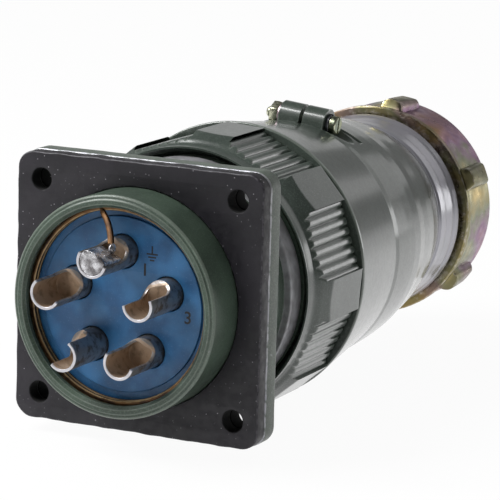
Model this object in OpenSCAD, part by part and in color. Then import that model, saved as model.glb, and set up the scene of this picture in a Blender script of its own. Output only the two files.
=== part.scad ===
// Cable-to-panel aviation plug connector, five power contacts.
// Millimetres, +Z up. The connector axis is Y: the wiring side of the panel
// receptacle faces -Y, the cable gland faces +Y. The origin lies on the axis,
// on the face of the square flange that bears on the panel.

/* [Shell size] */
// Outside diameter of the coupling thread
thread_d = 50; // [40:0.5:62]
// Radial space between bore and plug barrel
mate_gap = 0.1; // [0.05:0.01:0.2]
// Radial running fit of the coupling nut
run_gap = 0.06; // [0.03:0.01:0.1]
// Travel of the coupling thread for one turn of the nut
thread_pitch = 2; // [1:0.25:3]

/* [Panel flange] */
// Flange side beyond the thread, each side
flange_margin = 2; // [1.5:0.1:8]
// Flange thickness
flange_t = 4.2; // [3:0.1:8]
// Flange corner radius
corner_r = 3.6; // [1:0.1:6]
// Distance from hole centre to flange edge
hole_edge = 5.5; // [4:0.1:7]
// Mounting hole diameter
hole_d = 4.2; // [3:0.1:5]
// Gasket thickness
gasket_t = 3.2; // [1.5:0.1:6]

/* [Receptacle] */
// Rear barrel length behind the flange face
rear_len = 13; // [11:0.1:22]
// Neck length in front of the flange
neck_len = 10.3; // [8:0.1:20]
// Plain collar length before the thread
collar_len = 4.5; // [3:0.1:8]
// Coupling thread length
thread_len = 15; // [12:0.1:24]

/* [Contacts] */
// Solder cup outside diameter
cup_d = 6.4; // [5:0.1:7.8]
// Solder cup wall
cup_wall = 0.8; // [0.6:0.05:1.2]
// Contact pin diameter
pin_d = 4; // [3:0.1:4.6]
// Contact length beyond the insulator face
cup_len = 12.4; // [10:0.1:16]

/* [Coupling nut] */
// Number of smooth finger pads
pad_count = 8; // [6:1:10]
// Pad width as a share of its pitch
pad_share = 0.369; // [0.3:0.003:0.45]
// Grooves between two pads
groove_count = 7; // [5:1:7]
// Distance of the flat pads above the thread
nut_wall = 4.1; // [3.9:0.1:6]

/* [Backshell] */
// Pinch collar length
pinch_len = 23.4; // [20:0.1:34]
// Tapered body length
body_len = 36; // [28:0.5:60]
// Grooved outlet length
outlet_len = 9.4; // [7:0.1:14]
// Pinch screw diameter
screw_d = 2.5; // [2.2:0.1:3.2]
// Width of the pinch slit
slit_w = 0.8; // [0.5:0.1:1.2]

/* [Cable gland] */
// Radius of the gland nut skirt below the thread radius
gland_drop = 1.7; // [1:0.1:3]
// Cable entry diameter
cable_d = 25; // [14:0.5:28]
// Gland nut length
gland_len = 16.1; // [14:0.1:24]
// Radial squeeze gap round the grommet
grommet_gap = 0.1; // [0.05:0.01:0.3]

/* [Hidden] */
e = 0.01;
thread_r = thread_d / 2;
barrel_r = thread_r - 3.1;
bore_r = barrel_r - 2.5;
neck_r = thread_r - 1.7;
cavity_r = thread_r - 3.2;
seat_r = barrel_r + 0.5;
plug_r = cavity_r - mate_gap;
shoulder_r = thread_r - 0.4;
tube_r = thread_r - 2;
insert_r = bore_r - 0.05;
flange_w = 2 * (thread_r + flange_margin);
hole_pitch = flange_w - 2 * hole_edge;
// stations along the axis
face_z = 3.9 - rear_len;
web_z = flange_t + 7.8;
cavity_z = web_z + 2;
collar_z = flange_t + neck_len;
thread_z = collar_z + collar_len;
mouth_z = thread_z + thread_len;
plug_z = cavity_z + 1.9;
shoulder_z = mouth_z + 0.7;
lip_z = shoulder_z + 1.7;
nut_z = thread_z - 1;
nut_end_z = mouth_z + 5.2;
shell_z = nut_end_z + 0.4;
crease_z = shell_z + pinch_len;
taper_z = crease_z + body_len;
outlet_z = taper_z + outlet_len;
spigot_z = outlet_z + 10.1;
gland_z = outlet_z + 1.5;
gland_end_z = gland_z + gland_len;
tube_end_z = crease_z - 1;
// contacts
contact_n = 5;
contact_r = bore_r * 0.5387;
cup_r = cup_d / 2;
bore_cup_r = cup_r - cup_wall;
pin_r = pin_d / 2;
collar_r = cup_r + 0.75;
tip_z = face_z - cup_len;
pin_tip_z = mouth_z - 3.5;
cup_turn = [65, 50, 141, 65, 105];
// nut
pad_r = thread_r + nut_wall;
rib_r = pad_r - 1.35;
groove_r = 1;
pad_w = 360 / pad_count * pad_share;
rib_w = 360 / pad_count - pad_w;
rib_pitch = 2 * rib_r * tan(rib_w / 2) / groove_count;
pad_first = -4.2;
// backshell
crease_r = thread_r + 1.4;
pinch_wall = 3.7;
outlet_r = thread_r - 3.7;
spigot_r = thread_r - 4.5;
spigot_bore_r = spigot_r - 3;
ear_turn = 84;
ear_r = thread_r + 1.8;
ear_z = crease_z + 3.8;
ear_boss_r = 3.15;
ear_len = 5.3;
screw_r = screw_d / 2;
head_r = screw_r + 0.7;
pocket_r = screw_r + 1.8;
// gland
gland_r = thread_r - gland_drop;
lug_count = 6;
lug_first = 22;
lug_r = 2.6;
grommet_r = spigot_bore_r - grommet_gap;
cable_r = cable_d / 2;

green = [0.33, 0.4, 0.3];
silver = [0.8, 0.8, 0.78];
blue = [0.13, 0.27, 0.42];

// local Z runs along the connector, angles counted from +X towards +Z
module axial() {
  rotate([-90, 0, 0]) children();
}
module at_angle(a) {
  rotate([0, 0, -a]) children();
}
module turned(pts) {
  rotate_extrude($fn = 120) polygon(pts);
}
module rod(r, z0, z1, n = 64) {
  translate([0, 0, z0]) cylinder(r = r, h = z1 - z0, $fn = n);
}
module ring(r0, r1, z0, z1) {
  turned([[r0, z0], [r1, z0], [r1, z1], [r0, z1]]);
}
module each_contact(mirrored = false) {
  for (i = [0 : contact_n - 1]) contact_place(i) children();
}
module contact_place(i) {
  at_angle(90 + 72 * i) translate([contact_r, 0, 0]) children();
}
module square_plate(w, r, z0, z1) {
  translate([0, 0, z0]) linear_extrude(height = z1 - z0) {
    square([w, w - 2 * r], center = true);
    square([w - 2 * r, w], center = true);
    for (x = [-1, 1], y = [-1, 1]) {
      translate([x * (w / 2 - r), y * (w / 2 - r)]) circle(r = r, $fn = 48);
    }
  }
}
module panel_holes(d, z0, z1) {
  for (x = [-1, 1], y = [-1, 1]) {
    translate([x * hole_pitch / 2, y * hole_pitch / 2, 0]) rod(d / 2, z0, z1, 48);
  }
}
// keyways in the receptacle, keys on the plug: one wide, four narrow
key_turn = [90, 145, 205, 320, 25];
module keys(r0, r1, z0, z1, ease) {
  for (i = [0 : 4]) {
    w = (i == 0 ? 4 : 2.4) - 2 * ease;
    at_angle(key_turn[i]) translate([r0, -w / 2, z0]) cube([r1 - r0, w, z1 - z0]);
  }
}

module receptacle_shell() {
  color(green) axial() difference() {
    union() {
      turned([[0, 0.4 - rear_len], [barrel_r - 0.9, -rear_len], [barrel_r - 0.45, 0.15 - rear_len],
        [barrel_r, 0.6 - rear_len], [barrel_r, -gasket_t], [seat_r, -gasket_t],
        [seat_r, flange_t - 0.5], [neck_r, flange_t - 0.5],
        [neck_r, collar_z], [thread_r, collar_z], [thread_r, thread_z], [thread_r - 1, thread_z],
        [thread_r - 1, thread_z + 1.2], [thread_r, thread_z + 1.2], [thread_r, mouth_z - 0.6],
        [thread_r - 0.6, mouth_z], [0, mouth_z]]);
      square_plate(flange_w, corner_r, 0, flange_t);
    }
    turned([[0, -rear_len - 1], [bore_r + 0.7, -rear_len - 1], [bore_r + 0.7, -rear_len],
      [bore_r, 0.7 - rear_len], [bore_r, face_z - 2.3], [bore_r + 0.75, face_z - 2.3],
      [bore_r + 0.75, face_z + 0.7], [bore_r, face_z + 0.7], [bore_r, web_z],
      [bore_r - 1.4, web_z], [bore_r - 1.4, cavity_z], [cavity_r, cavity_z],
      [cavity_r, mouth_z + 1], [0, mouth_z + 1]]);
    keys(cavity_r - 1, cavity_r + 0.9, cavity_z + 1, mouth_z + 1, 0);
    panel_holes(hole_d, -1, flange_t + 1);
  }
}

module panel_gasket() {
  color([0.13, 0.12, 0.14]) axial() difference() {
    square_plate(flange_w, corner_r, -gasket_t, 0);
    rod(seat_r + 0.03, -gasket_t - 1, 1, 120);
    panel_holes(hole_d, -gasket_t - 1, 1);
  }
}

module rear_insulator() {
  color(blue) axial() difference() {
    turned([[0, face_z], [bore_r - 2.3, face_z], [bore_r - 2.1, face_z + 0.2],
      [bore_r - 2.1, face_z + 0.6], [insert_r, face_z + 0.6], [insert_r, 3], [0, 3]]);
    each_contact() {
      rod(cup_r + 0.45, face_z - 1, face_z + 3);
      rod(cup_r + 0.03, face_z, 4);
      rod(collar_r + 0.03, 0.5, 4);
    }
  }
}

module front_insulator() {
  color(blue) axial() difference() {
    turned([[0, 3], [insert_r, 3], [insert_r, web_z], [bore_r - 1.43, web_z],
      [bore_r - 1.43, cavity_z + 0.5], [0, cavity_z + 0.5]]);
    each_contact() {
      rod(cup_r - 0.27, 2, 10);
      rod(pin_r + 0.03, 9, cavity_z + 1);
    }
  }
}

// flat wire wound twice in the bore groove, its end turned in over the insulator
ring_r = bore_r - 0.35;
ring_half = 0.8;
wire_half = 0.36;
wire_pitch = 1.05;
wire_step = 7.5;
wire_n = 96;
ring_z0 = face_z + 0.15;
ring_end = 102;
tail_n = 8;
tail_r = contact_r + 2.45;
function wire_at(i) = i <= wire_n
  ? [ring_r, ring_end - wire_step * (wire_n - i), ring_z0 - wire_pitch * i * wire_step / 360]
  : let (t = (i - wire_n) / tail_n)
    [ring_r - (ring_r - tail_r) * t, ring_end - 13 * t * (1.35 - 0.35 * t),
      ring_z0 - wire_pitch * wire_n * wire_step / 360 - 3.2 * t];
function wire_ring(i) =
  let (p = wire_at(i), t = max(0, (i - wire_n) / tail_n), w = ring_half - 0.3 * min(1, t * 3))
  [for (k = [[-1, -1], [1, -1], [1, 1], [-1, 1]])
    let (r = p[0] + (i > wire_n ? 0 : k[0] * w), a = -p[1], s = i > wire_n ? k[0] * w : 0)
    [r * cos(a) + s * sin(a), r * sin(a) - s * cos(a), p[2] + k[1] * wire_half]];
module retaining_ring() {
  n = wire_n + tail_n;
  pts = [for (i = [0 : n]) each wire_ring(i)];
  sides = [for (i = [0 : n - 1], k = [0 : 3], h = [0, 1])
    let (a = 4 * i + k, b = 4 * i + (k + 1) % 4)
    h == 0 ? [a, b, b + 4] : [a, b + 4, a + 4]];
  color([0.5, 0.38, 0.2]) axial()
    polyhedron(pts, concat(sides, [[3, 2, 1, 0], [4 * n, 4 * n + 1, 4 * n + 2, 4 * n + 3]]));
}

// solder cup opening towards +X of its own frame
module cup_cut(z_tip, len, dir) {
  z1 = z_tip + dir * (len - 3.4);
  translate([0.45, -cup_d, min(z_tip - dir, z1)]) cube([cup_d, 2 * cup_d, abs(z1 - z_tip) + 1]);
  translate([3.85, cup_d, z1]) rotate([90, 0, 0]) cylinder(r = 3.4, h = 2 * cup_d, $fn = 48);
}
module pin_contact(i) {
  color(silver) axial() contact_place(i) at_angle(cup_turn[i] - 90 - 72 * i) difference() {
    union() {
      rod(cup_r, tip_z, 0.6);
      rod(collar_r, 0.6, 2.9);
      rod(cup_r - 0.3, 2.9, 9.9);
      turned([[0, 9.8], [pin_r, 9.8], [pin_r, pin_tip_z - 0.9], [pin_r - 0.35, pin_tip_z - 0.3],
        [pin_r - 1.1, pin_tip_z], [0, pin_tip_z]]);
    }
    turned([[0, tip_z - 1], [bore_cup_r, tip_z - 1], [bore_cup_r, face_z - 2], [0, face_z - 0.8]]);
    cup_cut(tip_z, cup_len - 2.8, 1);
  }
}
module pin_contact_1() { pin_contact(0); }
module pin_contact_2() { pin_contact(1); }
module pin_contact_3() { pin_contact(4); }
module pin_contact_4() { pin_contact(3); }
module pin_contact_5() { pin_contact(2); }

module solder_fill() {
  color([0.86, 0.87, 0.88]) axial() contact_place(0) at_angle(cup_turn[0] - 90) difference() {
    rod(bore_cup_r - 0.01, tip_z + 0.4, face_z - 2.2);
    translate([0.9, -cup_d, tip_z]) cube([cup_d, 2 * cup_d, cup_len]);
    translate([-0.6, 0, tip_z + 8.2]) rotate([0, 35, 0]) translate([0, -cup_d, 0])
      cube([2 * cup_d, 2 * cup_d, cup_len]);
  }
}

module interface_seal() {
  color([0.55, 0.25, 0.2]) axial() difference() {
    ring_z = cavity_z + 0.5;
    rod(bore_r - 1.5, ring_z, ring_z + 1.2, 120);
    each_contact() rod(pin_r + 0.05, ring_z - 1, ring_z + 2);
  }
}

module plug_shell() {
  color(green) axial() difference() {
    union() {
      turned([[0, plug_z], [plug_r - 0.5, plug_z], [plug_r, plug_z + 0.5], [plug_r, shoulder_z],
        [shoulder_r, shoulder_z], [shoulder_r, lip_z], [tube_r, lip_z],
        [tube_r, nut_end_z + 0.1], [tube_r - 0.8, nut_end_z + 0.1], [tube_r - 0.8, nut_end_z + 1.2],
        [tube_r, nut_end_z + 1.2], [tube_r, tube_end_z - 0.6], [tube_r - 0.6, tube_end_z],
        [0, tube_end_z]]);
      keys(plug_r - 1, cavity_r + 0.75, plug_z + 1, mouth_z - 0.2, 0.15);
    }
    turned([[0, plug_z - 1], [bore_r - 1, plug_z - 1], [bore_r - 1, plug_z + 1.7],
      [bore_r, plug_z + 1.7], [bore_r, plug_z + 28.1], [bore_r + 0.8, plug_z + 28.1],
      [bore_r + 0.8, plug_z + 29.4], [bore_r + 0.3, plug_z + 29.4], [bore_r + 1.3, plug_z + 31],
      [bore_r + 1.3, tube_end_z + 1], [0, tube_end_z + 1]]);
  }
}

module coupling_seal() {
  color([0.2, 0.2, 0.2]) axial() ring(plug_r + 0.02, shoulder_r - 0.3, mouth_z + 0.05, shoulder_z);
}

socket_z = plug_z + 1.2;
block_z = plug_z + 14.1;
tail_z = plug_z + 28.1;
module plug_front_insulator() {
  color([0.2, 0.22, 0.24]) axial() difference() {
    turned([[0, plug_z + 0.1], [bore_r - 1.03, plug_z + 0.1], [bore_r - 1.03, plug_z + 1.7],
      [insert_r, plug_z + 1.7], [insert_r, block_z], [0, block_z]]);
    each_contact() {
      rod(pin_r + 0.3, plug_z - 1, socket_z + 1);
      rod(pin_r + 1.03, socket_z - 0.05, block_z + 1);
    }
  }
}

module plug_rear_insulator() {
  color([0.2, 0.22, 0.24]) axial() difference() {
    rod(insert_r, block_z, tail_z, 120);
    each_contact() {
      rod(collar_r + 0.03, block_z - 1, block_z + 2.5);
      rod(cup_r + 0.03, block_z, tail_z + 1);
    }
  }
}

module socket_contact(i) {
  end_z = tail_z + 9.9;
  color(silver) axial() contact_place(i) difference() {
    union() {
      rod(pin_r + 1, socket_z, block_z + 0.1);
      rod(collar_r, block_z + 0.05, block_z + 2.4);
      rod(cup_r, block_z + 2.4, end_z);
    }
    rod(pin_r + 0.05, socket_z - 1, pin_tip_z + 1);
    translate([-0.25, -cup_d, socket_z - 1]) cube([0.5, 2 * cup_d, 9]);
    turned([[0, end_z + 1], [bore_cup_r, end_z + 1], [bore_cup_r, tail_z + 1], [0, tail_z]]);
    translate([0.45, -cup_d, end_z - 4.6]) cube([cup_d, 2 * cup_d, 6]);
    translate([3.85, cup_d, end_z - 4.6]) rotate([90, 0, 0])
      cylinder(r = 3.4, h = 2 * cup_d, $fn = 48);
  }
}
module socket_contact_1() { socket_contact(0); }
module socket_contact_2() { socket_contact(1); }
module socket_contact_3() { socket_contact(4); }
module socket_contact_4() { socket_contact(3); }
module socket_contact_5() { socket_contact(2); }

module open_ring(r0, r1, z0, z1, gap) {
  difference() {
    ring(r0, r1, z0, z1);
    translate([0, -gap / 2, z0 - 1]) cube([r1 + 1, gap, z1 - z0 + 2]);
  }
}
module plug_retaining_ring() {
  color([0.5, 0.5, 0.5]) axial() at_angle(270)
    open_ring(bore_r - 1.2, bore_r + 0.6, tail_z, tail_z + 1.1, 5);
}
module nut_snap_ring() {
  color([0.5, 0.5, 0.5]) axial() at_angle(200)
    open_ring(tube_r - 0.75, tube_r + 1.2, nut_end_z + 0.15, nut_end_z + 1.15, 6);
}

module coupling_nut() {
  corner = pad_r / cos(pad_w / 2) + 0.02;
  color(green) axial() difference() {
    intersection() {
      translate([0, 0, nut_z - 1]) linear_extrude(height = nut_end_z - nut_z + 2)
        polygon([for (i = [0 : pad_count - 1], p = [[-1, 0], [-1, 1], [1, 1], [1, 0]])
          (p[1] == 1 ? pad_r / cos(pad_w / 2) : rib_r / cos(rib_w / 2))
            * [cos(pad_first + i * 360 / pad_count + p[0] * pad_w / 2),
              -sin(pad_first + i * 360 / pad_count + p[0] * pad_w / 2)]]);
      turned([[0, nut_z], [rib_r - 0.45, nut_z], [rib_r - 0.15, nut_z + 0.3], [rib_r, nut_z + 3.5],
        [corner, nut_z + 6.95], [corner, nut_end_z - 0.4], [corner - 0.4, nut_end_z], [0, nut_end_z]]);
    }
    for (i = [0 : pad_count - 1], k = [0 : groove_count - 1]) {
      rotate(-pad_first - (i + 0.5) * 360 / pad_count)
        translate([rib_r + 0.45, (k - (groove_count - 1) / 2) * rib_pitch, nut_z + 3.8])
        cylinder(r = groove_r, h = nut_end_z - nut_z, $fn = 32);
    }
    turned([[0, nut_z - 1], [thread_r + 2.1, nut_z - 1], [thread_r + 2.1, nut_z],
      [thread_r + 2, nut_z + 0.1], [thread_r + 2, nut_z + 1.6], [thread_r + 0.8, nut_z + 2.2],
      [thread_r + 0.8, nut_z + 2.6], [thread_r + run_gap, nut_z + 3.4],
      [thread_r + run_gap, lip_z + 0.1], [tube_r + run_gap, lip_z + 0.1],
      [tube_r + run_gap, nut_end_z + 1], [0, nut_end_z + 1]]);
  }
}

// radial direction of the pinch ears along local +X, screw head towards local +Y
module at_ears() {
  at_angle(ear_turn) translate([ear_r, 0, ear_z]) children();
}
module ear_rod(r, t0, t1, n = 48) {
  translate([0, t0, 0]) rotate([-90, 0, 0]) cylinder(r = r, h = t1 - t0, $fn = n);
}
// distance down the tapered body and share of the radius lost there
taper = [[0.2, 0.06], [0.31, 0.1], [0.42, 0.17], [0.53, 0.31], [0.64, 0.41], [0.75, 0.53], [0.88, 0.76]];
module backshell() {
  lip_r = pad_r + 0.2;
  fall = crease_r + 0.2 - outlet_r;
  outer = concat(
    [[0, shell_z], [lip_r - 0.3, shell_z], [lip_r, shell_z + 0.3], [lip_r, shell_z + 0.8],
      [lip_r - 0.15, shell_z + 1.1], [crease_r, crease_z - 0.2], [crease_r - 0.3, crease_z + 0.1],
      [crease_r + 0.2, crease_z + 0.7]],
    [for (s = taper) [crease_r + 0.2 - fall * s[1], crease_z + body_len * s[0]]],
    [[outlet_r, taper_z], [outlet_r - 0.3, taper_z + 0.1], [outlet_r - 0.3, taper_z + 0.8],
      [outlet_r + 0.1, taper_z + 1.1], [outlet_r + 0.25, taper_z + 3.4], [outlet_r, taper_z + 3.6],
      [outlet_r, taper_z + 4.2], [outlet_r + 0.35, taper_z + 4.4], [outlet_r + 0.5, taper_z + 6.8],
      [outlet_r + 0.2, taper_z + 7], [outlet_r + 0.2, taper_z + 7.5],
      [outlet_r + 0.6, taper_z + 7.8], [outlet_r + 0.9, outlet_z], [spigot_r, outlet_z],
      [spigot_r, spigot_z - 0.5], [spigot_r - 0.5, spigot_z], [0, spigot_z]]);
  inner = concat(
    [[0, shell_z - 1], [lip_r - 3, shell_z - 1], [lip_r - 3, shell_z + 3], [tube_r + 0.03, shell_z + 6],
      [tube_r + 0.03, tube_end_z + 0.1], [crease_r - pinch_wall, tube_end_z + 0.1],
      [crease_r - pinch_wall, crease_z + 8]],
    [for (s = taper) if (s[0] > 0.3) [crease_r - pinch_wall - 0.1 - (crease_r - pinch_wall - spigot_bore_r) * s[1],
      crease_z + body_len * s[0]]],
    [[spigot_bore_r, taper_z], [spigot_bore_r, spigot_z + 1], [0, spigot_z + 1]]);
  slit_z = ear_z + ear_boss_r;
  color(green) axial() difference() {
    union() {
      turned(outer);
      at_ears() {
        ear_rod(ear_boss_r, -ear_len, ear_len);
        translate([-3, -ear_len, -ear_boss_r]) cube([3, 2 * ear_len, 2 * ear_boss_r]);
      }
    }
    turned(inner);
    at_ears() {
      ear_rod(screw_r + 0.1, -ear_len - 1, ear_len + 1, 32);
      ear_rod(pocket_r, ear_len, ear_len + 10);
      ear_rod(pocket_r, -ear_len - 10, -ear_len);
      translate([-8, -slit_w / 2, -ear_boss_r - 1]) cube([20, slit_w, 2 * ear_boss_r + 2]);
    }
    at_angle(ear_turn) translate([crease_r - 3, -20, slit_z]) cube([10, 40, 1]);
    at_angle(ear_turn) intersection() {
      ring(crease_r - 6, crease_r + 6, slit_z, slit_z + 1);
      translate([0, 0, slit_z - 1]) linear_extrude(height = 3)
        polygon([[0, 0], [40, -13], [40, 13]]);
    }
  }
}

washer_t = 0.6;
module flat_washer() {
  color([0.45, 0.35, 0.5]) axial() at_ears() difference() {
    ear_rod(screw_r + 1.3, -ear_len - washer_t, -ear_len);
    ear_rod(screw_r + 0.1, -ear_len - 2, 0, 32);
  }
}
module clamp_nut() {
  t0 = -ear_len - washer_t;
  color([0.7, 0.65, 0.4]) axial() at_ears() difference() {
    translate([0, t0, 0]) rotate([90, 0, 0])
      cylinder(r = (screw_r + 1.05) / cos(30), h = 2, $fn = 6);
    ear_rod(screw_r + 0.05, t0 - 4, 0, 32);
  }
}
module spring_washer() {
  color([0.2, 0.2, 0.22]) axial() at_ears() difference() {
    ear_rod(screw_r + 0.95, ear_len, ear_len + 0.8);
    ear_rod(screw_r + 0.1, 0, ear_len + 2, 32);
    translate([0, ear_len - 0.5, -0.3]) cube([4, 2, 0.6]);
  }
}
module clamp_screw() {
  h0 = ear_len + 0.8;
  color([0.72, 0.68, 0.42]) axial() at_ears() difference() {
    rotate([-90, 0, 0]) turned([[0, -9.1], [screw_r - 0.4, -9.1], [screw_r, -8.7],
      [screw_r, h0], [head_r, h0], [head_r, h0 + 1.1], [head_r - 0.15, h0 + 1.4],
      [head_r - 0.5, h0 + 1.5], [0, h0 + 1.5]]);
    translate([-4, h0 + 0.8, -0.3]) cube([8, 1.5, 0.6]);
  }
}

module cable_grommet() {
  g_r = min(cable_r - 1.5, grommet_r - 3);
  color([0.15, 0.15, 0.15]) axial() turned([[g_r + 0.6, outlet_z - 2.4], [grommet_r, outlet_z - 2.4],
    [grommet_r, spigot_z + 0.4], [grommet_r - 0.9, spigot_z + 2.4], [g_r + 0.6, spigot_z + 2.4],
    [g_r, spigot_z + 1.8], [g_r, outlet_z - 1.8]]);
}
module slip_washer() {
  color([0.75, 0.75, 0.72]) axial()
    ring(cable_r + 0.3, spigot_bore_r - 1, spigot_z + 2.45, gland_end_z - 3.1);
}
module gland_nut() {
  top_r = gland_r + 2.7;
  color([0.55, 0.45, 0.45]) axial() difference() {
    union() {
      turned([[0, gland_z], [gland_r + 0.2, gland_z], [gland_r + 0.55, gland_z + 0.35],
        [gland_r + 0.55, gland_z + 1.8], [gland_r, gland_z + 2.4], [gland_r, gland_end_z - 1.4],
        [gland_r - 0.6, gland_end_z - 0.4], [gland_r - 1.6, gland_end_z], [0, gland_end_z]]);
      intersection() {
        translate([0, 0, gland_z]) linear_extrude(height = gland_len) for (i = [0 : lug_count - 1]) {
          rotate(-lug_first - i * 360 / lug_count) {
            translate([gland_r + 0.1, 0]) circle(r = lug_r, $fn = 48);
          }
        }
        turned([[0, gland_z + 1.2], [gland_r, gland_z + 1.2], [top_r, gland_z + 1.9],
          [top_r - 0.9, gland_z + 11.6], [top_r - 1.8, gland_z + 12.7], [0, gland_z + 12.7]]);
      }
    }
    turned([[0, gland_z - 1], [spigot_r + 0.6, gland_z - 1], [spigot_r + 0.6, gland_z],
      [spigot_r + run_gap, gland_z + 0.6], [spigot_r + run_gap, spigot_z + 0.5],
      [spigot_bore_r + 0.2, spigot_z + 0.5], [spigot_bore_r + 0.2, gland_end_z - 3],
      [cable_r, gland_end_z - 3], [cable_r, gland_end_z + 1], [0, gland_end_z + 1]]);
  }
}

receptacle_shell();
panel_gasket();
rear_insulator();
front_insulator();
retaining_ring();
pin_contact_1();
pin_contact_2();
pin_contact_3();
pin_contact_4();
pin_contact_5();
solder_fill();
interface_seal();
plug_shell();
coupling_seal();
plug_front_insulator();
plug_rear_insulator();
socket_contact_1();
socket_contact_2();
socket_contact_3();
socket_contact_4();
socket_contact_5();
plug_retaining_ring();
nut_snap_ring();
coupling_nut();
backshell();
clamp_screw();
clamp_nut();
flat_washer();
spring_washer();
cable_grommet();
slip_washer();
gland_nut();
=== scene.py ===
# Looks for the five-contact aviation plug connector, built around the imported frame.
import math
import bmesh
import bpy
import numpy as np
from mathutils import Matrix, Vector, noise


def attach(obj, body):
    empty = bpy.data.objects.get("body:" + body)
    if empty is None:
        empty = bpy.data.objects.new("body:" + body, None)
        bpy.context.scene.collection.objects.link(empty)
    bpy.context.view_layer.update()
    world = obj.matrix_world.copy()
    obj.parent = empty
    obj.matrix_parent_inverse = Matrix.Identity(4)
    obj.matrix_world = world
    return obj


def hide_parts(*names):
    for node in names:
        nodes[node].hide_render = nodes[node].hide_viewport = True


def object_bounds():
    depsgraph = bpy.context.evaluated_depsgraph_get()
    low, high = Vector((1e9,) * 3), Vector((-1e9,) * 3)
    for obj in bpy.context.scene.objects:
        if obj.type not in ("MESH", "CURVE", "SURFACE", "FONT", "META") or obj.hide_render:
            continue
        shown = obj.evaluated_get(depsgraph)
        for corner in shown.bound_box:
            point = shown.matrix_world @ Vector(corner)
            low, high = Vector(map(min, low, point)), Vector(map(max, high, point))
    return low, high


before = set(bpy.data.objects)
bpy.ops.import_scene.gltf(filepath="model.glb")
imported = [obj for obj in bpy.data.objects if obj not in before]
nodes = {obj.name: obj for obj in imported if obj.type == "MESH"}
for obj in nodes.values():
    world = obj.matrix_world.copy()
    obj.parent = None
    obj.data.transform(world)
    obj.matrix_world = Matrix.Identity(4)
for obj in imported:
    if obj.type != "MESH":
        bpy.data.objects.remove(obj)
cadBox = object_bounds()
mm = 0.001
print("frame loaded:", len(nodes), "nodes")


# ---- mesh helpers, sizes in millimetres, angles from +X towards +Z ----

def polar(radius, degrees, station):
    a = math.radians(degrees)
    return (radius * math.cos(a) * mm, station * mm, radius * math.sin(a) * mm)


def softProfile(corners, step=1.5, closed=True):
    # corners are (radius, station) or (radius, station, rounding); long spans are divided
    points, count = [], len(corners)
    for i, corner in enumerate(corners):
        here = Vector(corner[:2])
        rounding = corner[2] if len(corner) > 2 else 0
        if rounding <= 0 or (not closed and i in (0, count - 1)):
            points.append(here)
            continue
        back = Vector(corners[i - 1][:2]) - here
        ahead = Vector(corners[(i + 1) % count][:2]) - here
        half = back.angle(ahead) / 2
        if half > 1.5:
            points.append(here)
            continue
        reach = min(rounding / math.tan(half), back.length * 0.48, ahead.length * 0.48)
        size = reach * math.tan(half)
        centre = here + (back.normalized() + ahead.normalized()).normalized() * size / math.sin(half)
        start, end = here + back.normalized() * reach - centre, here + ahead.normalized() * reach - centre
        steps = max(2, round((math.pi - 2 * half) / 0.35))
        total = start.angle(end)
        for k in range(steps + 1):
            f = k / steps
            points.append(centre + start * (math.sin((1 - f) * total) / math.sin(total))
                          + end * (math.sin(f * total) / math.sin(total)))
    dense = []
    last = len(points) if closed else len(points) - 1
    for i in range(last):
        a, b = points[i], points[(i + 1) % len(points)]
        length = (b - a).length
        parts = max(1, math.ceil(length / step))
        shares = [k / parts for k in range(parts)]
        if length > 0.7:
            # a loop close to each corner keeps rubbed edges and the painted edge highlight narrow
            shares = sorted(set(shares + [0.16 / length, 1 - 0.16 / length]))
        dense += [a.lerp(b, f) for f in shares]
    if not closed:
        dense.append(points[-1])
    return [(p.x, p.y) for p in dense]


def loopMesh(name, rings, wrap=True, capEnds=False):
    # rings of points in metres, each a closed loop; wrap joins the last ring to the first
    n, m = len(rings[0]), len(rings)
    verts = [p for ring in rings for p in ring]
    faces = []
    for i in range(m if wrap else m - 1):
        j = (i + 1) % m
        faces += [(i * n + k, j * n + k, j * n + (k + 1) % n, i * n + (k + 1) % n) for k in range(n)]
    if capEnds:
        faces += [tuple(range(n)), tuple(range((m - 1) * n, m * n))]
    mesh = bpy.data.meshes.new(name)
    mesh.from_pydata(verts, [], faces)
    return mesh


def turnedMesh(name, profile, columns=128, shape=None):
    angles = columns if isinstance(columns, list) else [360 * k / columns for k in range(columns)]
    rings = []
    for a in angles:
        rings.append([polar(*shape(r, a, y)) if shape else polar(r, a, y) for r, y in profile])
    return loopMesh(name, rings)


def tidy(mesh, merge=0.00001):
    work = bmesh.new()
    work.from_mesh(mesh)
    bmesh.ops.remove_doubles(work, verts=work.verts, dist=merge)
    bmesh.ops.dissolve_degenerate(work, edges=work.edges, dist=0.000001)
    bmesh.ops.recalc_face_normals(work, faces=work.faces)
    work.to_mesh(mesh)
    work.free()
    return mesh


def newObject(name, mesh):
    thing = bpy.data.objects.new(name, mesh)
    bpy.context.scene.collection.objects.link(thing)
    return thing


def applied(thing):
    # the evaluated shape as a plain mesh, modifiers gone
    depsgraph = bpy.context.evaluated_depsgraph_get()
    mesh = bpy.data.meshes.new_from_object(thing.evaluated_get(depsgraph))
    thing.modifiers.clear()
    old, thing.data = thing.data, mesh
    if isinstance(old, bpy.types.Mesh):
        bpy.data.meshes.remove(old)
    return thing


def carve(thing, cutters):
    for cutter in cutters:
        tool = newObject("tool", tidy(cutter))
        step = thing.modifiers.new("carve", "BOOLEAN")
        step.operation, step.object, step.solver = "DIFFERENCE", tool, "EXACT"
        applied(thing)
        bpy.data.objects.remove(tool)
    return thing


def bevelled(thing, width, segments=2, angle=30):
    tidy(thing.data)
    step = thing.modifiers.new("edge", "BEVEL")
    step.width, step.segments = width * mm, segments
    step.limit_method, step.angle_limit = "ANGLE", math.radians(angle)
    return applied(thing)


def joined(name, meshes):
    work = bmesh.new()
    for mesh in meshes:
        work.from_mesh(mesh)
        bpy.data.meshes.remove(mesh)
    whole = bpy.data.meshes.new(name)
    work.to_mesh(whole)
    work.free()
    return whole


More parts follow.
